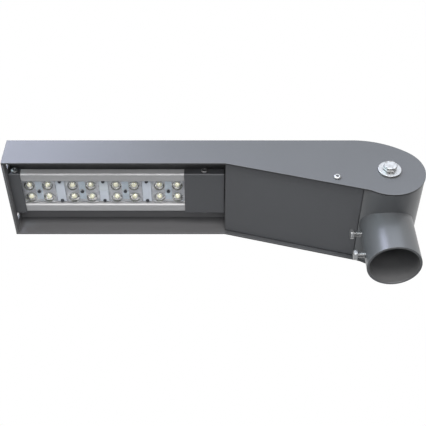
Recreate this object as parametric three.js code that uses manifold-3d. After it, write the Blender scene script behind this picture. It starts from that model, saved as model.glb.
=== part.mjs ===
// LED head of a solar street lamp on a tilting spigot for a 60 mm pole.
// Units are millimetres, +Z is up. The origin is the centre of the spigot's mouth, where the pole
// enters. The lamp head points along -X and its LEDs face down. Pieces of the head are placed in a
// group whose origin is the tilt axis, so their heights are counted from that axis.
import * as THREE from 'three';
import { mergeVertices } from 'three/addons/utils/BufferGeometryUtils.js';
import Module from 'manifold-3d';

const wasm = await Module();
wasm.setup();

// ---- Driving dimensions ----------------------------------------------------------------------
const GAP = 0.3;
const SHEET = 2.5;
const PIVOT_Z = 107.3;

// Lamp head, heights from the tilt axis
const HALF_WIDTH = 66.5;
const INNER_HALF = HALF_WIDTH - SHEET;
const HEAD_END = -508;
const TOP = 61.7;
const RIM = 14.2;
const KINK = -213;
const SLOPE = 0.28;
const END_RADIUS = 46.8;
const JOIN_EASE = 5;
const CROWN_RADIUS = 112;
const TRAY_BOTTOM = 44;
const TRAY_THICK = 2;
const TRAY_END = -60;
const BULKHEAD = { front: KINK + 2.6, back: KINK + 4.6, bottom: 24.6 };
const END_SLIT = { y: [42.3, 52.8], z: [29.7, 42] };
const ROLL_OVERRUN = 0.22;
const FLANGE_CLEARANCE = 2;

// Spigot
const DRUM_RADIUS = 46.2;
const DRUM_HALF = 63.4;
const DRUM_WALL = 3;
const TUBE_RADIUS = 35;
const TUBE_WALL = 3.2;
const TUBE_TOP = PIVOT_Z - 20;
const CABLE_SLOT = { x: [-27, -9], half: 14, bottom: PIVOT_Z + 30 };
const DISC_THICK = 4;
const SLEEVE_RADIUS = 8;
const POLE_STOP = { z: 64, thick: 3, hole: 14 };
const SET_BOLT_HEIGHTS = { upper: 56.8, lower: 19.3 };
const SET_BOLT_REACH = 44.8;
const SET_BOLT_LENGTH = 14.5;

// Fasteners
const M10 = { shank: 5, hole: 5.5, flats: 16, head: 6.4, nut: 9.5, beyondSeat: 11.5 };
const M8 = { shank: 3.9, hole: 4.2, flats: 12, head: 4.8 };
const M4 = { shank: 1.9, hole: 2.2, headRadius: 4.7, headHeight: 2.6, length: 8 };
const M2_5 = { shank: 1.2, hole: 1.5, headRadius: 2.4, headHeight: 2 };
const BUTTON_SCREW = { shank: 2.5, headRadius: 4.75, headHeight: 2.7, length: 9 };
const PIVOT_WASHER = { radius: 15, hole: 5.3, thick: 2.5 };
const SCREW_END_CLEARANCE = 0.5;

// LED module
const MODULE_X = [-505, -222];
const MODULE_HALF = 34.6;
const MODULE_BOTTOM = 27.8;
const MODULE_BASE_TOP = 39;
const MODULE_CHAMFER = 1.6;
const FIN = { places: [-25, -15, -5, 5, 15, 25], halfThick: 1.2, root: 0.5 };
const CHANNEL_HALF = 21;
const CHANNEL_FLOOR = 36.6;
const BOARD = { length: 54, width: 41, thick: 1.6 };
const BOARD_FACE = CHANNEL_FLOOR - GAP - BOARD.thick;
const LED_PACKAGE = { half: 2.5, proud: 1 };
const ARRAY = { length: 46, width: 41 };
const ARRAY_THICK = 2;
const ARRAY_BACK = BOARD_FACE - GAP;
const ARRAY_PITCH = 59.4;
const ARRAY_ROW_CENTRE = -379.8;
const LENS_PITCH = { x: 24.8, y: 21.3 };
const LENS_RADIUS = 7.4;
const LENS_HEIGHT = 5.2;
const LENS_POCKET = { radius: 4.2, depth: 1.6 };
const BRIDGE = { width: 12.4, length: 40, thick: 1.3, screwOffset: 17.4 };

// Saddle covers over the ends of the heat sink
const SADDLE = { half: 36.4, bottom: 26, top: 38, thick: 1.5, screwHeight: 33 };
const LEFT_SADDLE = { x: [-505.2, -489.8], screwX: -497.2 };
const RIGHT_SADDLE = { x: [-268.2, -213.8], screwX: -240.7 };

// Service cover; its flange is listed as distances from the kink and from the rear end
const COVER_RECESS = 5.5;
const COVER_THICK = 2;
const COVER_BEND = 4;
const COVER_FRONT = KINK + 0.2;
const COVER_FRONT_TOP = 32;
const COVER_DRUM_GAP = 0.5;
const COVER_HALF = INNER_HALF - 0.4;
const COVER_FLANGE = { lap: 0.5, rise: 16, front: KINK + 20, back: -44.6, taper: 4 };
const COVER_SCREW = { x: -69.3, z: -13.5 };

// Control gear
const DRIVER = { x: [-190, -98], half: 22, z: [21, 43.7] };
const DRIVER_TAB = { length: 8, half: 9, thick: 2.5, screwInset: 3.8 };
const DRIVER_SCREW_LENGTH = 2.6;
const TERMINAL = { x: [-88, -74], half: 16, bottom: 29, poles: [-10, 0, 10] };
const TERMINAL_ENTRY = { depth: 2, half: 3, z: [32, 38] };
const TERMINAL_WELL = { radius: 2.6, depth: 2.5, x: -80 };
const GROMMET = { z: 35, neck: 3.6, flange: 6, bore: 1.7, length: 6 };
const LEAD_RADIUS = 1.3;
const LEAD_ROUTE = [
  [DRIVER.x[0] - GAP, 0, GROMMET.z],
  [-213, 0, GROMMET.z],
  [-216.5, 0, 34.3],
  [-219.5, 0, 33.2],
  [-224, 0, 32.4],
  [-231, 0, 32.2],
  [-262, 0, 32.2],
];

// ---- Geometry helpers ------------------------------------------------------------------------
function toSolid(geometry) {
  const bare = geometry.clone();
  bare.deleteAttribute('normal');
  bare.deleteAttribute('uv');
  const merged = mergeVertices(bare, 1e-4);
  return new wasm.Manifold(new wasm.Mesh({
    numProp: 3,
    vertProperties: new Float32Array(merged.attributes.position.array),
    triVerts: new Uint32Array(merged.index.array),
  }));
}

function toGeometry(solid) {
  const mesh = solid.getMesh();
  const geometry = new THREE.BufferGeometry();
  geometry.setAttribute('position', new THREE.BufferAttribute(mesh.vertProperties, 3));
  geometry.setIndex(new THREE.BufferAttribute(mesh.triVerts, 1));
  geometry.computeVertexNormals();
  return geometry;
}

function combine(base, { add = [], cut = [] }) {
  let solid = toSolid(base);
  for (const piece of add) {
    solid = solid.add(toSolid(piece));
  }
  for (const piece of cut) {
    solid = solid.subtract(toSolid(piece));
  }
  return toGeometry(solid);
}

function block([x0, x1], [y0, y1], [z0, z1]) {
  const geometry = new THREE.BoxGeometry(x1 - x0, y1 - y0, z1 - z0);
  return geometry.translate((x0 + x1) / 2, (y0 + y1) / 2, (z0 + z1) / 2);
}

// A rod whose axis is parallel to Y, from y0 to y1, at (x, z).
function rodY(radius, [y0, y1], x = 0, z = 0, sides = 24) {
  const geometry = new THREE.CylinderGeometry(radius, radius, y1 - y0, sides);
  return geometry.translate(x, (y0 + y1) / 2, z);
}

function rodZ(radius, [z0, z1], x = 0, y = 0, sides = 24) {
  const geometry = new THREE.CylinderGeometry(radius, radius, z1 - z0, sides);
  return geometry.rotateX(Math.PI / 2).translate(x, y, (z0 + z1) / 2);
}

function rodX(radius, [x0, x1], y = 0, z = 0, sides = 24) {
  const geometry = new THREE.CylinderGeometry(radius, radius, x1 - x0, sides);
  return geometry.rotateZ(-Math.PI / 2).translate((x0 + x1) / 2, y, z);
}

function shapeOf(points) {
  return new THREE.Shape(points.map(([x, y]) => new THREE.Vector2(x, y)));
}

// Sweeps an outline drawn in X and Z along Y.
function sweepY(shape, [y0, y1], curveSegments = 24) {
  const options = { depth: y1 - y0, bevelEnabled: false, curveSegments };
  return new THREE.ExtrudeGeometry(shape, options).rotateX(Math.PI / 2).translate(0, y1, 0);
}

// Sweeps an outline drawn in Y and Z along X.
function sweepX(shape, [x0, x1]) {
  const options = { depth: x1 - x0, bevelEnabled: false };
  const axes = [[0, 1, 0], [0, 0, 1], [1, 0, 0]].map((axis) => new THREE.Vector3(...axis));
  const geometry = new THREE.ExtrudeGeometry(shape, options);
  return geometry.applyMatrix4(new THREE.Matrix4().makeBasis(...axes)).translate(x0, 0, 0);
}

function ringY(outer, inner, span, sides = 32) {
  const overrun = [span[0] - 1, span[1] + 1];
  return combine(rodY(outer, span, 0, 0, sides), { cut: [rodY(inner, overrun, 0, 0, sides)] });
}

// A round-headed screw on the Z axis: the head hangs below z = 0 and the shank rises from it.
function downwardScrew(headRadius, headHeight, shankRadius, shankLength) {
  const profile = [
    [0, -headHeight * 0.55],
    [headRadius * 0.45, -headHeight * 0.55],
    [headRadius * 0.45, -headHeight],
    [headRadius * 0.75, -headHeight],
    [headRadius, -headHeight * 0.55],
    [headRadius, 0],
    [shankRadius, 0],
    [shankRadius, shankLength],
    [0, shankLength],
  ];
  const points = profile.map(([r, y]) => new THREE.Vector2(r, y));
  return new THREE.LatheGeometry(points, 12).rotateX(Math.PI / 2);
}

// The span between two distances on one side of the lamp's middle plane, in rising order.
function sideSpan(side, inner, outer) {
  return side < 0 ? [-outer, -inner] : [inner, outer];
}

function hexagon(flats, [y0, y1]) {
  return rodY(flats / Math.sqrt(3), [y0, y1], 0, 0, 6);
}

// ---- Materials -------------------------------------------------------------------------------
const finishes = {
  paint: { color: 0x54575c, roughness: 0.55, metalness: 0.2 },
  zinc: { color: 0xc9ccd0, roughness: 0.35, metalness: 0.9 },
  blackScrew: { color: 0x2b2e33, roughness: 0.4, metalness: 0.8 },
  aluminium: { color: 0xa9abad, roughness: 0.45, metalness: 0.9 },
  board: { color: 0xdfe4ea, roughness: 0.5, metalness: 0 },
  lens: { color: 0xe9eee8, roughness: 0.08, metalness: 0 },
  bridge: { color: 0xc7d2e2, roughness: 0.45, metalness: 0 },
  rubber: { color: 0x1e1f21, roughness: 0.8, metalness: 0 },
  driverCase: { color: 0xd8d9d4, roughness: 0.5, metalness: 0 },
  terminal: { color: 0x3f4348, roughness: 0.6, metalness: 0 },
};

function addPiece(group, name, geometry, finish) {
  const mesh = new THREE.Mesh(geometry, new THREE.MeshStandardMaterial(finishes[finish]));
  mesh.name = name;
  group.add(mesh);
  return mesh;
}

// ---- Lamp head -------------------------------------------------------------------------------
// Height of the side plates' sloped lower edge at x.
function slopeEdge(x) {
  return RIM - SLOPE * (x - KINK);
}

// The crown arc is tangent to the flat top and touches the end circle from inside.
const CROWN_CENTRE_Z = TOP - CROWN_RADIUS;
const CROWN_CENTRE_X = -Math.sqrt((CROWN_RADIUS - END_RADIUS) ** 2 - CROWN_CENTRE_Z ** 2);
const CROWN_JOIN = Math.atan2(-CROWN_CENTRE_Z, -CROWN_CENTRE_X);

// Where a line parallel to the sloped edge, given by its height at x = 0, meets a circle about the
// tilt axis.
function slopeMeetsCircle(height, radius) {
  const a = 1 + SLOPE ** 2;
  const b = -2 * height * SLOPE;
  const c = height ** 2 - radius ** 2;
  const x = (-b - Math.sqrt(b ** 2 - 4 * a * c)) / (2 * a);
  return [x, height - SLOPE * x];
}

function sidePlate(side) {
  const outline = new THREE.Shape();
  const [joinX, joinZ] = slopeMeetsCircle(slopeEdge(0), END_RADIUS);
  outline.moveTo(HEAD_END, RIM);
  outline.lineTo(KINK, RIM);
  const arcStart = Math.atan2(joinZ, joinX) + JOIN_EASE / END_RADIUS;
  outline.lineTo(joinX - JOIN_EASE, joinZ + SLOPE * JOIN_EASE);
  outline.quadraticCurveTo(joinX, joinZ, END_RADIUS * Math.cos(arcStart), END_RADIUS * Math.sin(arcStart));
  outline.absarc(0, 0, END_RADIUS, arcStart, CROWN_JOIN, false);
  outline.absarc(CROWN_CENTRE_X, CROWN_CENTRE_Z, CROWN_RADIUS, CROWN_JOIN, Math.PI / 2, false);
  outline.lineTo(HEAD_END, TOP);
  const pivotHole = new THREE.Path().absarc(0, 0, M10.hole, 0, Math.PI * 2, true);
  const screwHole = new THREE.Path();
  screwHole.absarc(COVER_SCREW.x, COVER_SCREW.z, BUTTON_SCREW.shank + GAP, 0, Math.PI * 2, true);
  outline.holes.push(pivotHole, screwHole);
  return sweepY(outline, sideSpan(side, INNER_HALF, HALF_WIDTH), 28);
}

// The top sheet is flat over the head and rolled down over the drum's upper side.
function topSheet() {
  const rollEnd = CROWN_JOIN + ROLL_OVERRUN;
  const inner = CROWN_RADIUS - SHEET;
  const outline = new THREE.Shape();
  outline.moveTo(HEAD_END, TOP);
  outline.lineTo(HEAD_END, TOP - SHEET);
  outline.lineTo(CROWN_CENTRE_X, TOP - SHEET);
  outline.absarc(CROWN_CENTRE_X, CROWN_CENTRE_Z, inner, Math.PI / 2, rollEnd, true);
  outline.absarc(CROWN_CENTRE_X, CROWN_CENTRE_Z, CROWN_RADIUS, rollEnd, Math.PI / 2, false);
  return sweepY(outline, [-INNER_HALF + GAP, INNER_HALF - GAP], 14);
}

// The end plate has two openings level with the ends of the heat sink.
function endPlate() {
  const half = INNER_HALF - GAP;
  const plate = block([HEAD_END, HEAD_END + SHEET], [-half, half], [RIM, TOP - SHEET - GAP]);
  const openings = [-1, 1].map((side) => (
    block([HEAD_END - 1, HEAD_END + SHEET + 1], sideSpan(side, ...END_SLIT.y), END_SLIT.z)
  ));
  return combine(plate, { cut: openings });
}

// The tray is a channel with its flanges turned up inside the side plates.
function mountingTray() {
  const half = INNER_HALF - GAP;
  const floor = TRAY_BOTTOM + TRAY_THICK;
  const flangeTop = TOP - SHEET - FLANGE_CLEARANCE;
  const outline = shapeOf([
    [-half, TRAY_BOTTOM], [half, TRAY_BOTTOM], [half, flangeTop], [half - TRAY_THICK, flangeTop],
    [half - TRAY_THICK, floor], [-half + TRAY_THICK, floor], [-half + TRAY_THICK, flangeTop],
    [-half, flangeTop],
  ]);
  return sweepX(outline, [HEAD_END + SHEET + GAP, TRAY_END]);
}

function bulkhead() {
  const half = INNER_HALF - GAP;
  const span = [BULKHEAD.front, BULKHEAD.back];
  const wall = block(span, [-half, half], [BULKHEAD.bottom, TRAY_BOTTOM - GAP]);
  const hole = rodX(GROMMET.neck + GAP, [BULKHEAD.front - 1, BULKHEAD.back + 1], 0, GROMMET.z, 16);
  return combine(wall, { cut: [hole] });
}

// The cover is one folded sheet: a sloped panel, a front flange and two screwed side flanges. Its
// rear end stops just short of the drum.
const COVER_OFFSET = RIM + COVER_RECESS + SLOPE * KINK;
const COVER_RISE = COVER_THICK * Math.sqrt(1 + SLOPE ** 2);

function coverFace(x) {
  return COVER_OFFSET - SLOPE * x;
}

function serviceCover() {
  const front = COVER_FRONT;
  const inside = front + COVER_THICK;
  const endRadius = DRUM_RADIUS + COVER_DRUM_GAP;
  const panel = new THREE.Shape();
  panel.moveTo(front, COVER_FRONT_TOP);
  panel.lineTo(front, coverFace(front) + COVER_BEND);
  panel.quadraticCurveTo(front, coverFace(front), front + COVER_BEND, coverFace(front + COVER_BEND));
  panel.lineTo(...slopeMeetsCircle(COVER_OFFSET, endRadius));
  panel.lineTo(...slopeMeetsCircle(COVER_OFFSET + COVER_RISE, endRadius));
  panel.lineTo(inside + 1, coverFace(inside + 1) + COVER_RISE + 1);
  panel.lineTo(inside, coverFace(front) + COVER_RISE + 3);
  panel.lineTo(inside, COVER_FRONT_TOP);
  const { lap, rise, front: flangeFront, back, taper } = COVER_FLANGE;
  const flange = shapeOf([
    [flangeFront, coverFace(flangeFront) + lap],
    [back, coverFace(back) + lap],
    [back - taper, coverFace(back - taper) + rise],
    [flangeFront + taper, coverFace(flangeFront + taper) + rise],
  ]);
  const flanges = [-1, 1].map((side) => (
    sweepY(flange, sideSpan(side, COVER_HALF - COVER_THICK, COVER_HALF))
  ));
  const holeRadius = BUTTON_SCREW.shank + GAP;
  const holes = rodY(holeRadius, [-COVER_HALF - 1, COVER_HALF + 1], COVER_SCREW.x, COVER_SCREW.z, 16);
  return combine(sweepY(panel, [-COVER_HALF, COVER_HALF], 5), { add: flanges, cut: [holes] });
}

// ---- LED module ------------------------------------------------------------------------------
const arrayCentres = [-1.5, -0.5, 0.5, 1.5].map((step) => ARRAY_ROW_CENTRE + step * ARRAY_PITCH);
const bridgeCentres = [-1, 0, 1].map((step) => ARRAY_ROW_CENTRE + step * ARRAY_PITCH);

function moduleScrewPlaces() {
  const lensScrews = arrayCentres.map((x) => [x, 0]);
  const bridgeScrews = bridgeCentres.flatMap((x) => [-1, 1].map((side) => [x, side * BRIDGE.screwOffset]));
  return { lensScrews, bridgeScrews };
}

// The heat sink is an extruded profile: chamfered margins, a channel below and fins above.
function heatSink() {
  const chamfer = MODULE_CHAMFER;
  const base = shapeOf([
    [-MODULE_HALF, MODULE_BASE_TOP], [-MODULE_HALF, MODULE_BOTTOM + chamfer],
    [-MODULE_HALF + chamfer, MODULE_BOTTOM], [-CHANNEL_HALF - chamfer, MODULE_BOTTOM],
    [-CHANNEL_HALF, MODULE_BOTTOM + chamfer], [-CHANNEL_HALF, CHANNEL_FLOOR],
    [CHANNEL_HALF, CHANNEL_FLOOR], [CHANNEL_HALF, MODULE_BOTTOM + chamfer],
    [CHANNEL_HALF + chamfer, MODULE_BOTTOM], [MODULE_HALF - chamfer, MODULE_BOTTOM],
    [MODULE_HALF, MODULE_BOTTOM + chamfer], [MODULE_HALF, MODULE_BASE_TOP],
  ]);
  const fins = FIN.places.map((y) => (
    block(MODULE_X, [y - FIN.halfThick, y + FIN.halfThick], [MODULE_BASE_TOP - FIN.root, TRAY_BOTTOM - GAP])
  ));
  const { lensScrews, bridgeScrews } = moduleScrewPlaces();
  const drilled = [...lensScrews, ...bridgeScrews].map(([x, y]) => (
    rodZ(M2_5.hole, [CHANNEL_FLOOR - 1, MODULE_BASE_TOP + 1], x, y, 8)
  ));
  const tapped = [LEFT_SADDLE, RIGHT_SADDLE].flatMap(({ screwX }) => [-1, 1].map((side) => {
    const span = sideSpan(side, MODULE_HALF - M4.length, MODULE_HALF + 1);
    return rodY(M4.hole, span, screwX, SADDLE.screwHeight, 8);
  }));
  return combine(sweepX(base, MODULE_X), { add: fins, cut: [...drilled, ...tapped] });
}

// A board carries four soldered LED packages and has a hole for the lens screw.
function ledBoard(x) {
  const span = [x - BOARD.length / 2, x + BOARD.length / 2];
  const plate = block(span, [-BOARD.width / 2, BOARD.width / 2], [BOARD_FACE, BOARD_FACE + BOARD.thick]);
  const { half, proud } = LED_PACKAGE;
  const height = [BOARD_FACE - proud, BOARD_FACE + 0.5];
  const packages = lensOffsets().map(([dx, dy]) => (
    block([x + dx - half, x + dx + half], [dy - half, dy + half], height)
  ));
  return combine(plate, { add: packages, cut: [rodZ(M2_5.hole, [0, TOP], x, 0, 8)] });
}

function lensOffsets() {
  const dx = LENS_PITCH.x / 2;
  const dy = LENS_PITCH.y / 2;
  return [[-dx, -dy], [dx, -dy], [-dx, dy], [dx, dy]];
}

// A lens array is one moulding: a base plate, four domes and a pocket over each LED.
function lensArray(x) {
  const halfLength = ARRAY.length / 2;
  const halfWidth = ARRAY.width / 2;
  const front = ARRAY_BACK - ARRAY_THICK;
  const plate = block([x - halfLength, x + halfLength], [-halfWidth, halfWidth], [front, ARRAY_BACK]);
  const dome = [[0, -LENS_HEIGHT], [0.45, -LENS_HEIGHT * 0.93], [0.8, -LENS_HEIGHT * 0.66], [1, 0]];
  const profile = dome.map(([r, y]) => new THREE.Vector2(r * LENS_RADIUS, y));
  profile.push(new THREE.Vector2(LENS_RADIUS, 0.5), new THREE.Vector2(0, 0.5));
  const domes = lensOffsets().map(([dx, dy]) => (
    new THREE.LatheGeometry(profile, 16).rotateX(Math.PI / 2).translate(x + dx, dy, front)
  ));
  const pockets = lensOffsets().map(([dx, dy]) => (
    rodZ(LENS_POCKET.radius, [ARRAY_BACK - LENS_POCKET.depth, ARRAY_BACK + 1], x + dx, dy, 8)
  ));
  return combine(plate, { add: domes, cut: [...pockets, rodZ(M2_5.hole, [0, TOP], x, 0, 8)] });
}

function boardBridge(x) {
  const top = BOARD_FACE - GAP;
  const halfWidth = BRIDGE.width / 2;
  const halfLength = BRIDGE.length / 2;
  const plate = block([x - halfWidth, x + halfWidth], [-halfLength, halfLength], [top - BRIDGE.thick, top]);
  const holes = [-1, 1].map((side) => rodZ(M2_5.hole, [0, TOP], x, side * BRIDGE.screwOffset, 8));
  return combine(plate, { cut: holes });
}

function saddle({ x, screwX }) {
  const { half, bottom, top, thick } = SADDLE;
  const outline = shapeOf([
    [-half, top], [-half, bottom], [half, bottom], [half, top], [half - thick, top],
    [half - thick, bottom + thick], [-half + thick, bottom + thick], [-half + thick, top],
  ]);
  const holes = rodY(M4.hole, [-half - 1, half + 1], screwX, SADDLE.screwHeight, 8);
  return combine(sweepX(outline, x), { cut: [holes] });
}

// ---- Control gear ----------------------------------------------------------------------------
function ledDriver() {
  const { x, half, z } = DRIVER;
  const tab = DRIVER_TAB;
  const tabs = [[x[0] - tab.length, x[0] + 1], [x[1] - 1, x[1] + tab.length]];
  const feet = tabs.map((span) => block(span, [-tab.half, tab.half], [z[1] - tab.thick, z[1]]));
  const drilled = [z[1] - tab.thick - 1, z[1] + 1];
  const holes = driverScrewPlaces().map((at) => rodZ(M2_5.hole, drilled, at, 0, 8));
  return combine(block(x, [-half, half], z), { add: feet, cut: holes });
}

function driverScrewPlaces() {
  const reach = DRIVER_TAB.length - DRIVER_TAB.screwInset;
  return [DRIVER.x[0] - reach, DRIVER.x[1] + reach];
}

function terminalBlock() {
  const { x, half, bottom, poles } = TERMINAL;
  const body = block(x, [-half, half], [bottom, TRAY_BOTTOM - GAP]);
  const entry = TERMINAL_ENTRY;
  const well = TERMINAL_WELL;
  const entries = poles.map((y) => (
    block([x[0] - 2, x[0] + entry.depth], [y - entry.half, y + entry.half], entry.z)
  ));
  const wells = poles.map((y) => rodZ(well.radius, [bottom - 1, bottom + well.depth], well.x, y, 8));
  return combine(body, { cut: [...entries, ...wells] });
}

function grommet() {
  const { neck, flange, bore, length, z } = GROMMET;
  const { front, back } = BULKHEAD;
  const profile = [
    [bore, front], [neck, front], [neck, back + GAP], [flange, back + GAP],
    [flange * 0.6, back + length], [bore, back + length], [bore, front],
  ];
  const points = profile.map(([r, along]) => new THREE.Vector2(r, along));
  return new THREE.LatheGeometry(points, 16).rotateZ(-Math.PI / 2).translate(0, 0, z);
}

// ---- Assembly of the head --------------------------------------------------------------------
const group = new THREE.Group();
const head = new THREE.Group();
head.position.z = PIVOT_Z;
group.add(head);

addPiece(head, 'side_plate_near', sidePlate(-1), 'paint');
addPiece(head, 'side_plate_far', sidePlate(1), 'paint');
addPiece(head, 'top_sheet', topSheet(), 'paint');
addPiece(head, 'end_plate', endPlate(), 'paint');
addPiece(head, 'mounting_tray', mountingTray(), 'paint');
addPiece(head, 'bulkhead', bulkhead(), 'paint');
addPiece(head, 'service_cover', serviceCover(), 'paint');
addPiece(head, 'saddle_cover_left', saddle(LEFT_SADDLE), 'paint');
addPiece(head, 'saddle_cover_right', saddle(RIGHT_SADDLE), 'paint');
addPiece(head, 'heat_sink', heatSink(), 'aluminium');
arrayCentres.forEach((x, index) => {
  addPiece(head, `led_board_${index + 1}`, ledBoard(x), 'board');
  addPiece(head, `lens_array_${index + 1}`, lensArray(x), 'lens');
});
bridgeCentres.forEach((x, index) => {
  addPiece(head, `board_bridge_${index + 1}`, boardBridge(x), 'bridge');
});

function addScrew(name, size, length, finish, [x, y, z]) {
  const screw = downwardScrew(size.headRadius, size.headHeight, size.shank, length);
  const mesh = addPiece(head, name, screw, finish);
  mesh.position.set(x, y, z);
  return mesh;
}

function addModuleScrews() {
  const { lensScrews, bridgeScrews } = moduleScrewPlaces();
  const lensSeat = ARRAY_BACK - ARRAY_THICK - GAP;
  const bridgeSeat = BOARD_FACE - GAP - BRIDGE.thick - GAP;
  const tip = MODULE_BASE_TOP - SCREW_END_CLEARANCE;
  lensScrews.forEach(([x, y], index) => {
    addScrew(`lens_screw_${index + 1}`, M2_5, tip - lensSeat, 'blackScrew', [x, y, lensSeat]);
  });
  bridgeScrews.forEach(([x, y], index) => {
    addScrew(`bridge_screw_${index + 1}`, M2_5, tip - bridgeSeat, 'blackScrew', [x, y, bridgeSeat]);
  });
}

// Screws that enter from the sides; their heads face outwards.
function addSideScrew(name, size, side, [x, seat, z]) {
  addScrew(name, size, size.length, 'zinc', [x, side * seat, z]).rotation.x = side * Math.PI / 2;
}

addModuleScrews();
const sideNames = [[-1, 'near'], [1, 'far']];
for (const [side, label] of sideNames) {
  const seat = SADDLE.half + GAP;
  for (const [end, { screwX }] of [['left', LEFT_SADDLE], ['right', RIGHT_SADDLE]]) {
    addSideScrew(`saddle_screw_${end}_${label}`, M4, side, [screwX, seat, SADDLE.screwHeight]);
  }
  const coverSeat = [COVER_SCREW.x, HALF_WIDTH + GAP, COVER_SCREW.z];
  addSideScrew(`cover_screw_${label}`, BUTTON_SCREW, side, coverSeat);
}

addPiece(head, 'led_driver', ledDriver(), 'driverCase');
driverScrewPlaces().forEach((x, index) => {
  const seat = DRIVER.z[1] - DRIVER_TAB.thick - GAP;
  addScrew(`driver_screw_${index + 1}`, M2_5, DRIVER_SCREW_LENGTH, 'zinc', [x, 0, seat]);
});
addPiece(head, 'terminal_block', terminalBlock(), 'terminal');
addPiece(head, 'lead_grommet', grommet(), 'rubber');

// The LED lead runs from the driver through the grommet and down into the heat sink's channel.
const leadRoute = new THREE.CatmullRomCurve3(LEAD_ROUTE.map((point) => new THREE.Vector3(...point)));
const leadSection = new THREE.Shape().absarc(0, 0, LEAD_RADIUS, 0, Math.PI * 2, false);
const leadOptions = { steps: 20, curveSegments: 4, bevelEnabled: false, extrudePath: leadRoute };
addPiece(head, 'led_lead', new THREE.ExtrudeGeometry(leadSection, leadOptions), 'rubber');

// Pivot bolt, from the near side through both plates to the nut on the far side.
const washerInner = HALF_WIDTH + GAP;
const washerOuter = washerInner + PIVOT_WASHER.thick;
const boltSeat = washerOuter + GAP;
const boltEnd = boltSeat + M10.beyondSeat;
const boltHead = hexagon(M10.flats, [-boltSeat - M10.head, -boltSeat]);
const boltShank = rodY(M10.shank, [-boltSeat - 1, boltEnd]);
addPiece(head, 'pivot_bolt', combine(boltHead, { add: [boltShank] }), 'zinc');
for (const [side, label] of sideNames) {
  const washer = ringY(PIVOT_WASHER.radius, PIVOT_WASHER.hole, sideSpan(side, washerInner, washerOuter));
  addPiece(head, `pivot_washer_${label}`, washer, 'zinc');
}
const nutBlank = hexagon(M10.flats, [boltSeat, boltSeat + M10.nut]);
const nutBore = rodY(M10.shank + GAP, [boltSeat - 1, boltSeat + M10.nut + 1]);
addPiece(head, 'pivot_nut', combine(nutBlank, { cut: [nutBore] }), 'zinc');

// ---- Spigot ----------------------------------------------------------------------------------
// The knuckle is one casting: a horizontal drum with the pole tube below it. The supply cable leaves
// through a slot in the part of the drum that stays inside the head at every tilt.
function spigotKnuckle() {
  const drum = rodY(DRUM_RADIUS, [-DRUM_HALF, DRUM_HALF], 0, PIVOT_Z, 72);
  const tube = rodZ(TUBE_RADIUS, [0, TUBE_TOP], 0, 0, 64);
  const drumBore = rodY(DRUM_RADIUS - DRUM_WALL, [-DRUM_HALF - 1, DRUM_HALF + 1], 0, PIVOT_Z, 72);
  const tubeBore = rodZ(TUBE_RADIUS - TUBE_WALL, [-1, PIVOT_Z], 0, 0, 64);
  const { x, half, bottom } = CABLE_SLOT;
  const cableSlot = block(x, [-half, half], [bottom, PIVOT_Z + DRUM_RADIUS + 2]);
  const boltHoles = Object.values(SET_BOLT_HEIGHTS).map((z) => (
    rodX(M8.hole, [-TUBE_RADIUS - 2, -TUBE_RADIUS / 2], 0, z, 16)
  ));
  return combine(drum, { add: [tube], cut: [drumBore, tubeBore, cableSlot, ...boltHoles] });
}

function setBolt(z) {
  const flange = rodX(M8.flats / Math.sqrt(3), [-SET_BOLT_REACH - M8.head, -SET_BOLT_REACH], 0, z, 6);
  const shank = rodX(M8.shank, [-SET_BOLT_REACH - 1, -SET_BOLT_REACH + SET_BOLT_LENGTH], 0, z, 16);
  return combine(flange, { add: [shank] });
}

addPiece(group, 'spigot_knuckle', spigotKnuckle(), 'paint');
const discRadius = DRUM_RADIUS - DRUM_WALL - GAP;
for (const [side, label] of sideNames) {
  const disc = ringY(discRadius, M10.hole, sideSpan(side, DRUM_HALF - DISC_THICK, DRUM_HALF), 48);
  addPiece(group, `drum_disc_${label}`, disc, 'paint').position.z = PIVOT_Z;
}
const sleeveHalf = DRUM_HALF - DISC_THICK - GAP;
const sleeve = ringY(SLEEVE_RADIUS, M10.hole, [-sleeveHalf, sleeveHalf], 24);
addPiece(group, 'pivot_sleeve', sleeve, 'zinc').position.z = PIVOT_Z;
const stopRadius = TUBE_RADIUS - TUBE_WALL - GAP;
const stopTop = POLE_STOP.z + POLE_STOP.thick;
const stopHole = rodZ(POLE_STOP.hole, [POLE_STOP.z - 1, stopTop + 1], 0, 0, 24);
const stop = combine(rodZ(stopRadius, [POLE_STOP.z, stopTop], 0, 0, 48), { cut: [stopHole] });
addPiece(group, 'pole_stop', stop, 'paint');
for (const [label, z] of Object.entries(SET_BOLT_HEIGHTS)) {
  addPiece(group, `set_bolt_${label}`, setBolt(z), 'zinc');
}

export default group;
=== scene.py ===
"""Looks of the LED head of a solar street lamp on its tilting spigot.

Every shape below is drawn in millimetres and stored in metres. A height on the lamp head is counted
from the tilt axis, which is AXIS_Z above the spigot's mouth; HEAD_SHIFT moves it to the row frame.
"""

import math

import bmesh
import bpy
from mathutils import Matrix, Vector
from mathutils.geometry import tessellate_polygon


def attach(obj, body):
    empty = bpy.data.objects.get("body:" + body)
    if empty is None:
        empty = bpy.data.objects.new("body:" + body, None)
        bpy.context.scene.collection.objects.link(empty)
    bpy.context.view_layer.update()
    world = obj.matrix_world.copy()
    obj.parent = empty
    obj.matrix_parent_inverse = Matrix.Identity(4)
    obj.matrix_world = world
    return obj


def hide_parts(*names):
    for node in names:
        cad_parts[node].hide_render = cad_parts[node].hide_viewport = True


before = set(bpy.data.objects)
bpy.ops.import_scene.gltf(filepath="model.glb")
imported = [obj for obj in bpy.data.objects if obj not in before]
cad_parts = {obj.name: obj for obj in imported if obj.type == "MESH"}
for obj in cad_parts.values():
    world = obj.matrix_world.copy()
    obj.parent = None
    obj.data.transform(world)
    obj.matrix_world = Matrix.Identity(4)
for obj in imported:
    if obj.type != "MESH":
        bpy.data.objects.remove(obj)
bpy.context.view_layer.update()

MM = 0.001
AXIS_Z = 107.3
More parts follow.
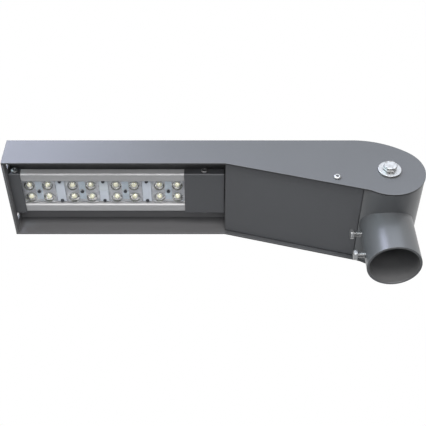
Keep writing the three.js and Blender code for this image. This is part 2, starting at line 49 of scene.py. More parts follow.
HEAD_SHIFT = (0, 0, AXIS_Z)
SIDES = ((-1, "near"), (1, "far"))
EDGE = 0.45
GAP = 0.3

# Lamp head
HALF_WIDTH = 66.5
SHEET = 2.5
INNER_HALF = HALF_WIDTH - SHEET
END_SLIT_Y = (42.3, 52.8)
END_SLIT_Z = (29.7, 42)
HEAD_END = -508
TOP = 61.7
RIM = 14.2
KINK = -213
SLOPE = 0.28
END_RADIUS = 46.8
JOIN_EASE = 5
CROWN_RADIUS = 112
TRAY_BOTTOM = 44
TRAY_BACK = -60
BULKHEAD_BOTTOM = 24.6
LEAD_HEIGHT = 35
COVER_THICK = 2
COVER_DRUM_GAP = 0.5
COVER_FLANGE_BACK = -44.6
SADDLES = {"left": (-505.2, -489.8), "right": (-268.2, -213.8)}

# LED module
MODULE_X = (-505, -222)
MODULE_HALF = 34.6
MODULE_BOTTOM = 27.8
MODULE_BASE_TOP = 39
CHANNEL_HALF = 21
CHANNEL_FLOOR = 36.6
ARRAY_PITCH = 59.4
ARRAY_ROW_CENTRE = -379.8
ARRAY_CENTRES = [ARRAY_ROW_CENTRE + step * ARRAY_PITCH for step in (-1.5, -0.5, 0.5, 1.5)]
BRIDGE_CENTRES = [ARRAY_ROW_CENTRE + step * ARRAY_PITCH for step in (-1, 0, 1)]
FIN_CENTRES = (-25, -15, -5, 5, 15, 25)
FIN_TIP = 43.7
BOARD_FACE = 34.7
BOARD_THICK = 1.6
BOARD_HALF = (27, 20.5)
LED_HALF = 2.5
# The dark ring round each LED is painted shade for the lenses' dark outlines.
LED_RING = (4.7, 6.6)  # inner and outer radius
BRIDGE_HALF_X = 6.2
BRIDGE_HALF_Y = 20
BRIDGE_THICK = 1.3
BRIDGE_SCREW_Y = 17.4
BRIDGE_SCREW_SEAT = 32.8
BRIDGE_SEAM = 0.1
ARRAY_HALF = (23, 20.5)
ARRAY_BACK = 34.4
ARRAY_FRONT = 32.4
LENS_OFFSET = (12.4, 10.65)
MODULE_SCREW_HOLE = 1.7

# Spigot
DRUM_RADIUS = 46.2
DRUM_HALF = 63.4
DRUM_WALL = 3
TUBE_RADIUS = 35
TUBE_WALL = 3.2
KNUCKLE_EDGE = 0.6
DRUM_SIDES = 160
TUBE_SIDES = 128
CABLE_SLOT = (-14, 14, AXIS_Z + 30, AXIS_Z + 60)
CABLE_SLOT_DEPTH = (-27, -9)
STOP_RADIUS = 31.5
STOP_BORE = 14
STOP_HEIGHT = (64, 67)

# Fasteners
PIVOT_HOLE = 5.5
M10_FLATS = 16
PIVOT_BOLT_SEAT = 69.6
PIVOT_WASHER = (15, 5.3, 2.5)  # outer radius, hole radius, thickness
M8_FLATS = 12
SET_BOLT_SEAT = -44.8
SET_BOLT_HEIGHTS = {"upper": 56.8, "lower": 19.3}
SET_BOLT_HOLE = 4.2
SADDLE_SCREWS = {"left": -497.2, "right": -240.7}
SADDLE_SCREW_SEAT = (36.7, 33)  # distance from the middle plane, height
COVER_SCREW = (-69.3, -13.5)  # X, height
COVER_SCREW_HOLE = 2.8
CROWN_SHARE = 0.97  # the flat crown's width over a hexagon's flats
BOLT_TIP = 0.9
HEAD_SIDES = 72
SHANK_SIDES = 36


# ---- Outlines -----------------------------------------------------------------------------------
def arc(centre, radius, start, end, steps):
    """Points on an arc, both ends included; angles in radians."""
    cx, cy = centre
    turns = [start + (end - start) * k / steps for k in range(steps + 1)]
    return [(cx + radius * math.cos(a), cy + radius * math.sin(a)) for a in turns]


def circle(centre, radius, sides):
    return arc(centre, radius, 0, 2 * math.pi, sides)[:-1]


def rectangle(x0, x1, y0, y1):
    return [(x0, y0), (x1, y0), (x1, y1), (x0, y1)]


def fillet(corners, radius, steps=3):
    """Rounds an outline's corners. A corner is (x, y) or (x, y, its own radius)."""
    made = []
    count = len(corners)
    for k, corner in enumerate(corners):
        here = Vector(corner[:2])
        own = corner[2] if len(corner) > 2 else radius
        if own <= 0:
            made.append(tuple(here))
            continue
        back = Vector(corners[k - 1][:2]) - here
        ahead = Vector(corners[(k + 1) % count][:2]) - here
        half = back.angle(ahead) / 2
        if half > math.radians(89):
            made.append(tuple(here))
            continue
        reach = min(own / math.tan(half), 0.48 * back.length, 0.48 * ahead.length)
        own = reach * math.tan(half)
        centre = here + (back.normalized() + ahead.normalized()).normalized() * own / math.sin(half)
        first = here + back.normalized() * reach - centre
        last = here + ahead.normalized() * reach - centre
        start = math.atan2(first.y, first.x)
        sweep = (math.atan2(last.y, last.x) - start + math.pi) % (2 * math.pi) - math.pi
        made += arc(centre, own, start, start + sweep, steps)
    return made


def area(points):
    return sum(a[0] * b[1] - b[0] * a[1] for a, b in zip(points, points[1:] + points[:1])) / 2


def inset(points, distance):
    """Moves a closed outline to its left by a distance, with mitred corners."""
    made = []
    for k, point in enumerate(points):
        here = Vector(point)
        into = (here - Vector(points[k - 1])).normalized()
        out = (Vector(points[(k + 1) % len(points)]) - here).normalized()
        side = Vector((-into.y, into.x)) + Vector((-out.y, out.x))
        side /= max(0.35, 1 + into.dot(out))
        made.append(tuple(here + side * distance))
    return made


# ---- Closed shells ------------------------------------------------------------------------------
class Shell:
    """Collects rings of points and the faces between them."""

    def __init__(self):
        self.points = []
        self.faces = []

    def ring(self, points):
        start = len(self.points)
        self.points += [tuple(p) for p in points]
        return list(range(start, len(self.points)))

    def disc(self, radius, height, sides):
        """A ring of points on a level circle about Z."""
        return self.ring((x, y, height) for x, y in circle((0, 0), radius, sides))

    def band(self, a, b):
        count = len(a)
        for i in range(count):
            j = (i + 1) % count
            self.faces.append((a[i], a[j], b[j], b[i]))

    def bands(self, rings, closed=False):
        for a, b in zip(rings, rings[1:]):
            self.band(a, b)
        if closed:
            self.band(rings[-1], rings[0])

    def fan(self, ring, apex):
        tip = self.ring([apex])[0]
        count = len(ring)
        for i in range(count):
            self.faces.append((ring[i], ring[(i + 1) % count], tip))

    def cap(self, rings):
        """Fills the flat area inside the first ring and outside the others."""
        order = [i for ring in rings for i in ring]
        loops = [[Vector(self.points[i]) for i in ring] for ring in rings]
        for triangle in tessellate_polygon(loops):
            self.faces.append(tuple(order[i] for i in triangle))

    def add(self, other):
        start = len(self.points)
        self.points += other.points
        self.faces += [tuple(i + start for i in face) for face in other.faces]

    def mesh(self, name, shift=(0, 0, 0)):
        """The shell as a mesh in metres with its faces turned outwards."""
        bm = bmesh.new()
        move = Vector(shift)
        corners = [bm.verts.new((Vector(p) + move) * MM) for p in self.points]
        for face in self.faces:
            if len(set(face)) > 2:
                bm.faces.new([corners[i] for i in face])
        bmesh.ops.remove_doubles(bm, verts=bm.verts, dist=1e-7)
        bmesh.ops.dissolve_degenerate(bm, edges=bm.edges, dist=1e-8)
        bmesh.ops.recalc_face_normals(bm, faces=bm.faces)
        for face in bm.faces:
            face.smooth = True
        made = bpy.data.meshes.new(name)
        bm.to_mesh(made)
        bm.free()
        return made


def edge_levels(low, high, edge, steps):
    """How far in, and how deep, each ring of a plate with rounded edges lies."""
    turns = [math.pi / 2 * k / steps for k in range(steps + 1)]
    levels = [(edge * (1 - math.sin(a)), low + edge * (1 - math.cos(a))) for a in turns]
    return levels + [(move, low + high - depth) for move, depth in levels[::-1]]


def slab(outline, span, holes=(), edge=EDGE, steps=3, to3d=lambda u, v, d: (u, d, v)):
    """A plate: an outline with holes, extruded over a span of depth, its edges rounded."""
    if area(outline) < 0:
        outline = outline[::-1]
    loops = [outline] + [h[::-1] if area(h) > 0 else h for h in holes]
    levels = edge_levels(*sorted(span), edge, steps)
    shell = Shell()
    ends = ([], [])
    for loop in loops:
        rings = []
        for move, depth in levels:
            rings.append(shell.ring(to3d(u, v, depth) for u, v in inset(loop, move)))
        shell.bands(rings)
        ends[0].append(rings[0])
        ends[1].append(rings[-1])
    shell.cap(ends[0])
    shell.cap(ends[1])
    return shell


def along_x(u, v, d):
    """An outline drawn in Y and Z, extruded along X."""
    return (d, u, v)


def along_z(u, v, d):
    """An outline drawn in X and Y, extruded along Z."""
    return (u, v, d)


def lathe(profile, sides, open_bore=False):
    """Turns a profile of (radius, height) about Z. A profile with a bore is closed on itself."""
    shell = Shell()
    rings = []
    for radius, height in profile:
        if radius > 1e-6:
            rings.append(shell.disc(radius, height, sides))
    shell.bands(rings, closed=open_bore)
    if not open_bore:
        shell.fan(rings[0], (0, 0, profile[0][1]))
        shell.fan(rings[-1], (0, 0, profile[-1][1]))
    return shell


def turned(shell, axis, at):
    """Stands a shell drawn about +Z on another axis, and moves it."""
    turn = Vector((0, 0, 1)).rotation_difference(Vector(axis)).to_matrix()
    shell.points = [tuple(turn @ Vector(p) + Vector(at)) for p in shell.points]
    return shell


def add_object(name, data):
    made = bpy.data.objects.new(name, data)
    bpy.context.scene.collection.objects.link(made)
    return made


def solid_object(name, shell, shift=(0, 0, 0)):
    return add_object(name, shell.mesh(name, shift))


def settle(made, body, node, finish):
    """Makes an object a visible piece that rides on a body and stands for a CAD node."""
    made.data.materials.clear()
    made.data.materials.append(finish)
    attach(made, body)
    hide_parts(node)


def piece(name, shell, body, node, finish, shift=(0, 0, 0)):
    made = solid_object(name, shell, shift)
    modifier = made.modifiers.new("even_normals", "WEIGHTED_NORMAL")
    modifier.keep_sharp = True
    settle(made, body, node, finish)


def on_head(name, shell, node, finish):
    """A piece of the lamp head, drawn from the tilt axis."""
    piece(name, shell, "lamp_head", node, finish, HEAD_SHIFT)


# ---- Materials ----------------------------------------------------------------------------------
class Nodes:
    """A short way to write a node material."""

    def __init__(self, name):
        self.material = bpy.data.materials.new(name)
        self.material.use_nodes = True
        self.tree = self.material.node_tree
        self.shader = self.tree.nodes["Principled BSDF"]
        self.where = self.tree.nodes.new("ShaderNodeTexCoord").outputs["Object"]

    @classmethod
    def on(cls, material):
        """Reopens a finished material to add to it."""
        made = cls.__new__(cls)
        made.material = material
        made.tree = material.node_tree
        made.shader = made.tree.nodes["Principled BSDF"]
        made.where = made.tree.nodes["Texture Coordinate"].outputs["Object"]
        return made

    def node(self, kind, **inputs):
        made = self.tree.nodes.new(kind)
        for key, value in inputs.items():
            self.feed(made.inputs[key.replace("_", " ")], value)
        return made

    def feed(self, socket, value):
        if isinstance(value, bpy.types.NodeSocket):
            self.tree.links.new(value, socket)
        else:
            socket.default_value = value

    def set(self, **inputs):
        for key, value in inputs.items():
            self.feed(self.shader.inputs[key.replace("_", " ")], value)

    def stretch(self, scale):
        mapping = self.node("ShaderNodeMapping", Vector=self.where)
        mapping.inputs["Scale"].default_value = scale
        return mapping.outputs["Vector"]

    def noise(self, scale, detail=2.0, rough=0.5, where=None):
        made = self.node("ShaderNodeTexNoise", Vector=where or self.where)
        made.inputs["Scale"].default_value = scale
        made.inputs["Detail"].default_value = detail
        made.inputs["Roughness"].default_value = rough
        return made.outputs["Fac"]

    def cells(self, scale):
        made = self.node("ShaderNodeTexVoronoi", Vector=self.where)
        made.inputs["Scale"].default_value = scale
        return made

    def span(self, value, low, high, start=0.0, end=1.0):
        made = self.node("ShaderNodeMapRange", Value=value)
        made.inputs["From Min"].default_value = start
        made.inputs["From Max"].default_value = end
        made.inputs["To Min"].default_value = low
        made.inputs["To Max"].default_value = high
        return made.outputs["Result"]

    def mix(self, fac, a, b):
        made = self.tree.nodes.new("ShaderNodeMix")
        made.data_type = "RGBA"
        self.feed(made.inputs[0], fac)
        self.feed(made.inputs[6], a if not isinstance(a, tuple) else (*a, 1))
        self.feed(made.inputs[7], b if not isinstance(b, tuple) else (*b, 1))
        return made.outputs[2]

    def maths(self, operation, a, b=0.0):
        made = self.tree.nodes.new("ShaderNodeMath")
        made.operation = operation
        self.feed(made.inputs[0], a)
        self.feed(made.inputs[1], b)
        return made.outputs[0]

    def rough(self, value, low, high):
        """Roughness that follows the middle of a noise's range."""
        self.set(Roughness=self.span(value, low, high, 0.3, 0.7))

    def bump(self, height, distance, strength, below=None):
        made = self.node("ShaderNodeBump", Height=height)
        made.inputs["Distance"].default_value = distance
        made.inputs["Strength"].default_value = strength
        if below is not None:
            self.feed(made.inputs["Normal"], below)
        return made.outputs["Normal"]


def paint_material(name, dark, light, rough=(0.36, 0.46)):
    """Fine-textured powder coat with a few light flakes."""
    n = Nodes(name)
    drift = n.noise(9, 3)
    colour = n.mix(drift, dark, light)
    flakes = n.span(n.noise(2600, 1), 0, 1, 0.60, 0.74)
    colour = n.mix(n.maths("MULTIPLY", flakes, 0.22), colour, tuple(3.2 * c for c in light))
    texture = n.noise(950, 2)
    peel = n.noise(260, 1)
    normal = n.bump(texture, 0.00005, 0.35)
    normal = n.bump(peel, 0.0001, 0.15, below=normal)
    n.set(Base_Color=colour, Metallic=0.25, Normal=normal)
    n.rough(texture, *rough)
    return n.material


def tone_where(material, tone, mask):
    """Blends a finish towards another tone, which paints light or shade onto it; mask(nodes, place)
    gives how much, from metres.
    """
    n = Nodes.on(material)
    place = n.node("ShaderNodeSeparateXYZ", Vector=n.where).outputs
    finish = n.shader.inputs["Base Color"].links[0].from_socket
    n.set(Base_Color=n.mix(mask(n, place), finish, tone))


# The two ends of each soft step of painted light and shade, in metres.
BORE_WALL = (0.0316, 0.0322)
BORE_DEPTH = (0.060, 0.075)
PLATE_INNER_FACE = (0.0641, 0.0646)
CUT_EDGE = ((0.0641, 0.0645), (0.0659, 0.0662))
NOSE_FACES = ((-0.5064, -0.5060), (-0.5053, -0.5051))
RECESS_END = (-0.214, -0.210)
SINK_FLANK = (0.0340, 0.0344)


def rises(n, value, step):
    return n.span(value, 0.0, 1.0, *step)


def falls(n, value, step):
    return n.span(value, 1.0, 0.0, *step)


def times(n, a, b):
    return n.maths("MULTIPLY", a, b)


def off_centre(n, place):
    """Distance from the lamp's middle plane."""
    return n.maths("ABSOLUTE", place["Y"])


# Painted light: the tube's bore wall is painted paler from the mouth up to about 60 to 75 mm.
def bore_painted_light(n, place):
    x, y = place["X"], place["Y"]
    radius = n.maths("SQRT", n.maths("ADD", times(n, x, x), times(n, y, y)))
    return times(n, falls(n, radius, BORE_WALL), falls(n, place["Z"], BORE_DEPTH))


def plate_edge_painted_shadow(n, place):
    """The side plates' cut edges, painted near black as a shadow line along them."""
    across = off_centre(n, place)
    return times(n, rises(n, across, CUT_EDGE[0]), falls(n, across, CUT_EDGE[1]))


def between_plates(n, place, start, end):
    across = falls(n, off_centre(n, place), PLATE_INNER_FACE)
    along = times(n, rises(n, place["X"], start), falls(n, place["X"], end))
    return times(n, across, along)


def recess_painted_light(n, place):
    """Within the side plates, from the nose plate's inner face to the cover, where the coat is painted
    paler as light.
    """
    return between_plates(n, place, NOSE_FACES[0], RECESS_END)


def nose_painted_light(n, place):
    """The nose plate's inner face, painted paler still as light on it."""
    return between_plates(n, place, *NOSE_FACES)


def sink_flank_painted_light(n, place):
    """The heat sink's flanks, painted paler than its other faces as light on them."""
    return rises(n, off_centre(n, place), SINK_FLANK)


def zinc_material(name, tone, rough):
    """Zinc plate with soft clouding, brighter with a higher tone."""
    n = Nodes(name)
    cloud = n.noise(340, 3)
    colour = n.mix(cloud, (tone * 0.85, tone * 0.86, tone * 0.86), (tone, tone, tone * 0.99))
    fine = n.noise(2200, 2)
    n.set(Base_Color=colour, Metallic=1.0)
    n.rough(cloud, *rough)
    n.set(Normal=n.bump(fine, 0.00002, 0.25))
    return n.material


def aluminium_material(name):
    """Mill-finish extrusion: die lines along X over a faint mottling."""
    n = Nodes(name)
    lines = n.noise(1.0, 4, 0.6, n.stretch((6, 1500, 1500)))
    mottle = n.noise(160, 3)
    colour = n.mix(mottle, (0.30, 0.30, 0.30), (0.37, 0.37, 0.37))
    colour = n.mix(n.span(lines, 0, 0.35, 0.35, 0.75), colour, (0.46, 0.46, 0.46))
    n.set(Base_Color=colour, Metallic=0.5)
    n.rough(mottle, 0.46, 0.6)
    n.set(Normal=n.bump(lines, 0.00004, 0.4))
    return n.material


def plain_plastic(name, dark, light, rough, grain=1400):
    """Moulded plastic with a fine spark-eroded grain."""
    n = Nodes(name)
    n.set(Base_Color=n.mix(n.noise(60, 2), dark, light))
    fine = n.noise(grain, 2)
    n.rough(fine, rough - 0.06, rough + 0.06)
    n.set(Normal=n.bump(fine, 0.00003, 0.4))
    return n.material


def black_oxide(name):
    n = Nodes(name)
    cloud = n.noise(900, 3)
    n.set(Base_Color=n.mix(cloud, (0.035, 0.038, 0.044), (0.075, 0.08, 0.09)), Metallic=0.85)
    n.rough(cloud, 0.25, 0.42)
    n.set(Normal=n.bump(n.noise(2600, 1), 0.00001, 0.3))
    return n.material


def board_material(name):
    """White solder mask over etched copper pours, whose gaps read a little darker."""
    n = Nodes(name)
    pours = n.cells(130)
    shade = n.span(pours.outputs["Distance"], 0.0, 1.0, 0.35, 0.6)
    speck = n.noise(700, 2)
    colour = n.mix(shade, (0.78, 0.79, 0.84), (0.64, 0.65, 0.71))
    n.set(Base_Color=n.mix(n.span(speck, 0, 0.25), colour, (0.6, 0.61, 0.66)))
    n.rough(speck, 0.32, 0.5)
    n.set(Normal=n.bump(shade, 0.00003, 0.4))
    return n.material


def lens_material(name):
    """Clear acrylic with a faint warm cast and very slight moulding ripple."""
    n = Nodes(name)
    ripple = n.noise(420, 2)
    n.set(Base_Color=n.mix(ripple, (0.97, 0.975, 0.955), (0.995, 0.995, 0.985)))
    n.rough(ripple, 0.02, 0.06)
    n.set(Normal=n.bump(ripple, 0.00003, 0.12))
    n.set(Transmission_Weight=1.0, IOR=1.49)
    return n.material


def phosphor_material(name):
    """Silicone over yellow phosphor, granular and a little glossy."""
    n = Nodes(name)
    grain = n.noise(2400, 2)
    n.set(Base_Color=n.mix(grain, (0.90, 0.86, 0.62), (0.97, 0.95, 0.78)))
    n.rough(grain, 0.22, 0.36)
    n.set(Normal=n.bump(grain, 0.00002, 0.3))
    return n.material


COAT = ((0.058, 0.06, 0.063), (0.069, 0.071, 0.075))
PAINT = paint_material("graphite_powder_coat", *COAT)
SPIGOT_COAT = ((0.061, 0.064, 0.067), (0.073, 0.076, 0.079))
SPIGOT_PAINT = paint_material("spigot_coat_painted_bore_light", *SPIGOT_COAT, rough=(0.29, 0.38))
# Painted light: the tube's bore is painted paler near its mouth.
tone_where(SPIGOT_PAINT, (0.145, 0.145, 0.145), bore_painted_light)
# This coat carries painted shadow on the plates' edges and painted light inside the recess.
HOUSING_PAINT = paint_material("housing_coat_painted_light_and_shade", *COAT)
# Painted shadow: the side plates' edge faces are made near black.
tone_where(HOUSING_PAINT, (0.02, 0.02, 0.021), plate_edge_painted_shadow)
# Painted light: the faces inside the recess are made paler than the coat.
tone_where(HOUSING_PAINT, (0.108, 0.108, 0.11), recess_painted_light)
# Painted light: the nose plate's inner face is made paler still.
tone_where(HOUSING_PAINT, (0.165, 0.165, 0.168), nose_painted_light)
ZINC = zinc_material("bright_zinc", 0.42, (0.32, 0.46))
BOLT_ZINC = zinc_material("bolt_zinc", 0.33, (0.34, 0.46))
# Rougher zinc for the saddle screws; its darker tone is painted shade for the recess they sit in.
SHADED_ROUGH_ZINC = zinc_material("rough_zinc_painted_shade", 0.24, (0.42, 0.56))
ALUMINIUM = aluminium_material("extruded_aluminium_painted_flank_light")
# Painted light: the heat sink's flanks are made paler than its other faces.
tone_where(ALUMINIUM, (0.62, 0.62, 0.62), sink_flank_painted_light)
# Black oxide for the small screws; also the painted shade at the bottom of the button screws' sockets.
BLACK_OXIDE_AND_SOCKET_SHADE = black_oxide("black_oxide_and_socket_shade")
BOARD = board_material("led_board_mask")
LENS = lens_material("clear_acrylic")
PHOSPHOR = phosphor_material("led_phosphor")
CERAMIC = plain_plastic("led_ceramic", (0.8, 0.8, 0.78), (0.88, 0.88, 0.86), 0.45)
BRIDGE = plain_plastic("bridge_plastic", (0.42, 0.455, 0.50), (0.47, 0.505, 0.55), 0.38)
BRIDGE_PALE = plain_plastic("bridge_plastic_pale", (0.43, 0.465, 0.49), (0.48, 0.515, 0.54), 0.38)
PAD = plain_plastic("heat_pad_mask", (0.70, 0.79, 0.90), (0.76, 0.85, 0.95), 0.4)
RUBBER = plain_plastic("black_rubber", (0.012, 0.012, 0.013), (0.03, 0.03, 0.032), 0.7, 900)
DRIVER_CASE = plain_plastic("driver_casing", (0.66, 0.67, 0.64), (0.72, 0.73, 0.7), 0.5)
# Painted shade: the dark ring under each lens's edge.
LENS_OUTLINE_SHADE = plain_plastic("lens_outline_shade_dark", (0.16, 0.17, 0.14), (0.24, 0.25, 0.21), 0.4)
TERMINAL = plain_plastic("terminal_plastic", (0.045, 0.05, 0.055), (0.06, 0.065, 0.07), 0.5)


# ---- Lamp head: sheet metal -----------------------------------------------------------------------
def slope_edge(x):
    return RIM - SLOPE * (x - KINK)


CROWN_Z = TOP - CROWN_RADIUS
CROWN_X = -math.sqrt((CROWN_RADIUS - END_RADIUS) ** 2 - CROWN_Z ** 2)
CROWN_JOIN = math.atan2(-CROWN_Z, -CROWN_X)


def slope_meets_circle(height, radius):
    """Where a line of the lower edge's slope, at a height above the axis, meets a circle about it."""
    a = 1 + SLOPE ** 2
    b = -2 * height * SLOPE
    c = height ** 2 - radius ** 2
    x = (-b - math.sqrt(b * b - 4 * a * c)) / (2 * a)
    return (x, height - SLOPE * x)


def side_plate(side):
    outline = [(HEAD_END, TOP), (HEAD_END, RIM), (KINK, RIM)]
    join = Vector(slope_meets_circle(slope_edge(0), END_RADIUS))
    before = join + Vector((-JOIN_EASE, SLOPE * JOIN_EASE))
    start = math.atan2(join.y, join.x) + JOIN_EASE / END_RADIUS
    after = END_RADIUS * Vector((math.cos(start), math.sin(start)))
    for k in range(8):
        t = k / 8
        outline.append(tuple(before * (1 - t) ** 2 + join * 2 * t * (1 - t) + after * t * t))
    outline += arc((0, 0), END_RADIUS, start, CROWN_JOIN, 96)
    outline += arc((CROWN_X, CROWN_Z), CROWN_RADIUS, CROWN_JOIN, math.pi / 2, 28)[1:]
    holes = [circle((0, 0), PIVOT_HOLE, 32), circle(COVER_SCREW, COVER_SCREW_HOLE, 24)]
    return slab(outline, (side * INNER_HALF, side * HALF_WIDTH), holes)


def top_sheet():
    end = CROWN_JOIN + 0.22
    outline = [(HEAD_END, TOP), (HEAD_END, TOP - SHEET)]
    outline += arc((CROWN_X, CROWN_Z), CROWN_RADIUS - SHEET, math.pi / 2, end, 26)
    outline += arc((CROWN_X, CROWN_Z), CROWN_RADIUS, end, math.pi / 2, 26)
    return slab(outline, (-INNER_HALF + 0.05, INNER_HALF - 0.05), edge=0.3)


def end_plate():
    half = INNER_HALF - 0.1
    top = TOP - SHEET - 0.1
    slits = []
    for side in (-1, 1):
        across = sorted(side * y for y in END_SLIT_Y)
        slits.append(fillet(rectangle(*across, *END_SLIT_Z), 0.8))
    outline = rectangle(-half, half, RIM, top)
    return slab(outline, (HEAD_END, HEAD_END + SHEET), slits, to3d=along_x)


def mounting_tray():
    half = INNER_HALF - GAP
    top = TOP - SHEET - 2
    wall = 2
    floor = TRAY_BOTTOM + wall
    inner = half - wall
    outline = fillet([
        (-half, TRAY_BOTTOM, 2.6), (half, TRAY_BOTTOM, 2.6), (half, top, 0.4), (inner, top, 0.4),
        (inner, floor, 0.7), (-inner, floor, 0.7), (-inner, top, 0.4), (-half, top, 0.4),
    ], 0, 5)
    return slab(outline, (HEAD_END + SHEET + GAP, TRAY_BACK), to3d=along_x)


def bulkhead():
    half = INNER_HALF - GAP
    outline = rectangle(-half, half, BULKHEAD_BOTTOM, TRAY_BOTTOM - GAP)
    lead_hole = circle((0, LEAD_HEIGHT), 3.9, 24)
    return slab(outline, (KINK + 2.6, KINK + 4.6), [lead_hole], to3d=along_x)


COVER_TILT = math.atan(SLOPE)


def cover_face(x, lift=0.0):
    return RIM + 5.5 + SLOPE * KINK + lift - SLOPE * x


def service_cover():
    front = KINK + 0.2
    back = front + COVER_THICK
    top = 32
    rise = COVER_THICK / math.cos(COVER_TILT)
    end_radius = DRUM_RADIUS + COVER_DRUM_GAP
    lower_end = slope_meets_circle(cover_face(0), end_radius)
    upper_end = slope_meets_circle(cover_face(0, rise), end_radius)
    outline = fillet([
        (front, top, 0.5), (front, cover_face(front), 3.4), (*lower_end, 0.4), (*upper_end, 0.4),
        (back, cover_face(back) + rise, 1.4), (back, top, 0.5),
    ], 0, 6)
    half = INNER_HALF - 1.6
    return slab(outline, (-half, half), edge=0.6)


def cover_flange(side):
    """Side flange of the cover, tucked inside a side plate."""
    front, back, lean = KINK + 20, COVER_FLANGE_BACK, 4
    corners = ((front, 1), (back, 1), (back - lean, 16), (front + lean, 16))
    outline = fillet([(x, cover_face(x, lift)) for x, lift in corners], 2)
    half = INNER_HALF - 0.4
    hole = circle(COVER_SCREW, COVER_SCREW_HOLE, 24)
    return slab(outline, (side * half, side * (half - COVER_THICK)), [hole])


def saddle(span):
    """A folded strip that covers one end of the heat sink."""
    half, bottom, top, thick = 36.4, 26, 38, 1.5
    outline = fillet([
        (-half, top, 0.3), (-half, bottom, 2.2), (half, bottom, 2.2), (half, top, 0.3),
        (half - thick, top, 0.3), (half - thick, bottom + thick, 0.8),
        (-half + thick, bottom + thick, 0.8), (-half + thick, top, 0.3),
    ], 0, 5)
    return slab(outline, span, edge=0.35, to3d=along_x)


def sheet_metal():
    for side, label in SIDES:
        on_head(f"plate_{label}", side_plate(side), f"side_plate_{label}", HOUSING_PAINT)
    on_head("roof_sheet", top_sheet(), "top_sheet", PAINT)
    on_head("nose_plate", end_plate(), "end_plate", HOUSING_PAINT)
    on_head("gear_tray", mounting_tray(), "mounting_tray", HOUSING_PAINT)
    on_head("dividing_wall", bulkhead(), "bulkhead", PAINT)
    cover = service_cover()
    for side, _ in SIDES:
        cover.add(cover_flange(side))
    on_head("gear_cover", cover, "service_cover", PAINT)
    for end, span in SADDLES.items():
        on_head(f"saddle_{end}", saddle(span), f"saddle_cover_{end}", PAINT)


# ---- Fasteners ------------------------------------------------------------------------------------
def hex_radius(angle, flats):
    """Distance from the centre of a hexagon to its side, corners eased."""
    turn = (angle + math.pi / 6) % (math.pi / 3) - math.pi / 6
    return min(flats / 2 / math.cos(turn), flats / math.sqrt(3) * 0.985)


def hexagon(flats):
    return lambda angle: hex_radius(angle, flats)


def polar_ring(radius, height, sides=HEAD_SIDES, turn=0.0):
    """A ring of points: radius(angle) gives its outline and height(radius) its level."""
    points = []
    for k in range(sides):
        angle = 2 * math.pi * k / sides
        here = radius(angle)
        points.append((here * math.cos(angle + turn), here * math.sin(angle + turn), height(here)))
    return points


def hex_ring(flats, height, turn):
    return polar_ring(hexagon(flats), lambda radius: height, turn=turn)


def chamfered_ring(flats, face, tilt, turn):
    """Where a 30 degree turned chamfer meets the six flats."""
    inner = flats / 2 * CROWN_SHARE
    slope = math.tan(math.radians(30))

    def height(radius):
        return face + tilt * (radius - inner) * slope

    return polar_ring(hexagon(flats), height, turn=turn)


def thread_rings(shell, radius, depth, pitch, start, end, sides=SHANK_SIDES):
    """Rings of a threaded shank from start up to end, with plain run-outs."""
    forms = [(0.0, 0.0), (0.12, 0.0), (0.5, 1.0), (0.62, 1.0)]
    count = int((end - start) / pitch) + 2
    rings = []
    for turn in range(count):
        for at, low in forms:
            ring = []
            for k in range(sides):
                angle = 2 * math.pi * k / sides
                height = start + pitch * (turn - 1 + at + k / sides)
                inside = start < height < end
                here = radius - depth * (low if inside else 1.0)
                height = min(max(height, start), end)
                ring.append((here * math.cos(angle), here * math.sin(angle), height))
            rings.append(shell.ring(ring))
    return rings


def hex_bolt(flats, head, radius, length, pitch, threaded, washer_face=0.5):
    """Drawn with the head's underside at z = 0, the head below it and the shank rising."""
    shell = Shell()
    turn = math.pi / 6
    half = flats / 2
    dish = -head + 0.12
    rings = [
        shell.disc(half * CROWN_SHARE * 0.55, dish, HEAD_SIDES),
        shell.disc(half * CROWN_SHARE * 0.6, -head, HEAD_SIDES),
        shell.disc(half * CROWN_SHARE, -head, HEAD_SIDES),
        shell.ring(chamfered_ring(flats, -head, 1, turn)),
        shell.ring(hex_ring(flats, -washer_face, turn)),
        shell.disc(half * 0.95, -washer_face, HEAD_SIDES),
        shell.disc(half * 0.93, 0, HEAD_SIDES),
    ]
    shell.bands(rings)
    shell.fan(rings[0], (0, 0, dish))
    shell.fan(rings[-1], (0, 0, 0))
    bolt_shank = Shell()
    plain = length - threaded
    sunk = -0.5
    rings = [bolt_shank.disc(radius, sunk, SHANK_SIDES)]
    if plain > 0:
        rings.append(bolt_shank.disc(radius, plain, SHANK_SIDES))
    rings += thread_rings(bolt_shank, radius, 0.55 * pitch, pitch, max(plain, 0), length - BOLT_TIP)
    end = radius - 0.62 * pitch
    rings.append(bolt_shank.disc(end + 0.1, length - BOLT_TIP, SHANK_SIDES))
    rings.append(bolt_shank.disc(end - 0.3, length, SHANK_SIDES))
    bolt_shank.bands(rings)
    bolt_shank.fan(rings[0], (0, 0, sunk))
    bolt_shank.fan(rings[-1], (0, 0, length))
    shell.add(bolt_shank)
    return shell


def hex_nut(flats, thick, bore):
    shell = Shell()
    turn = math.pi / 6
    crown = flats / 2 * CROWN_SHARE
    sink = 0.8
    rings = [
        shell.disc(crown, 0, HEAD_SIDES),
        shell.ring(chamfered_ring(flats, 0, 1, turn)),
        shell.ring(chamfered_ring(flats, thick, -1, turn)),
        shell.disc(crown, thick, HEAD_SIDES),
        shell.disc(bore + sink, thick, HEAD_SIDES),
        shell.disc(bore, thick - sink, HEAD_SIDES),
        shell.disc(bore, sink, HEAD_SIDES),
        shell.disc(bore + sink, 0, HEAD_SIDES),
    ]
    shell.bands(rings, closed=True)
    return shell


def washer(outer, bore, thick):
    profile = fillet([(bore, 0, 0.15), (outer, 0, 0.15), (outer, thick, 0.6), (bore, thick, 0.35)], 0, 4)
    return lathe(profile, HEAD_SIDES, open_bore=True)


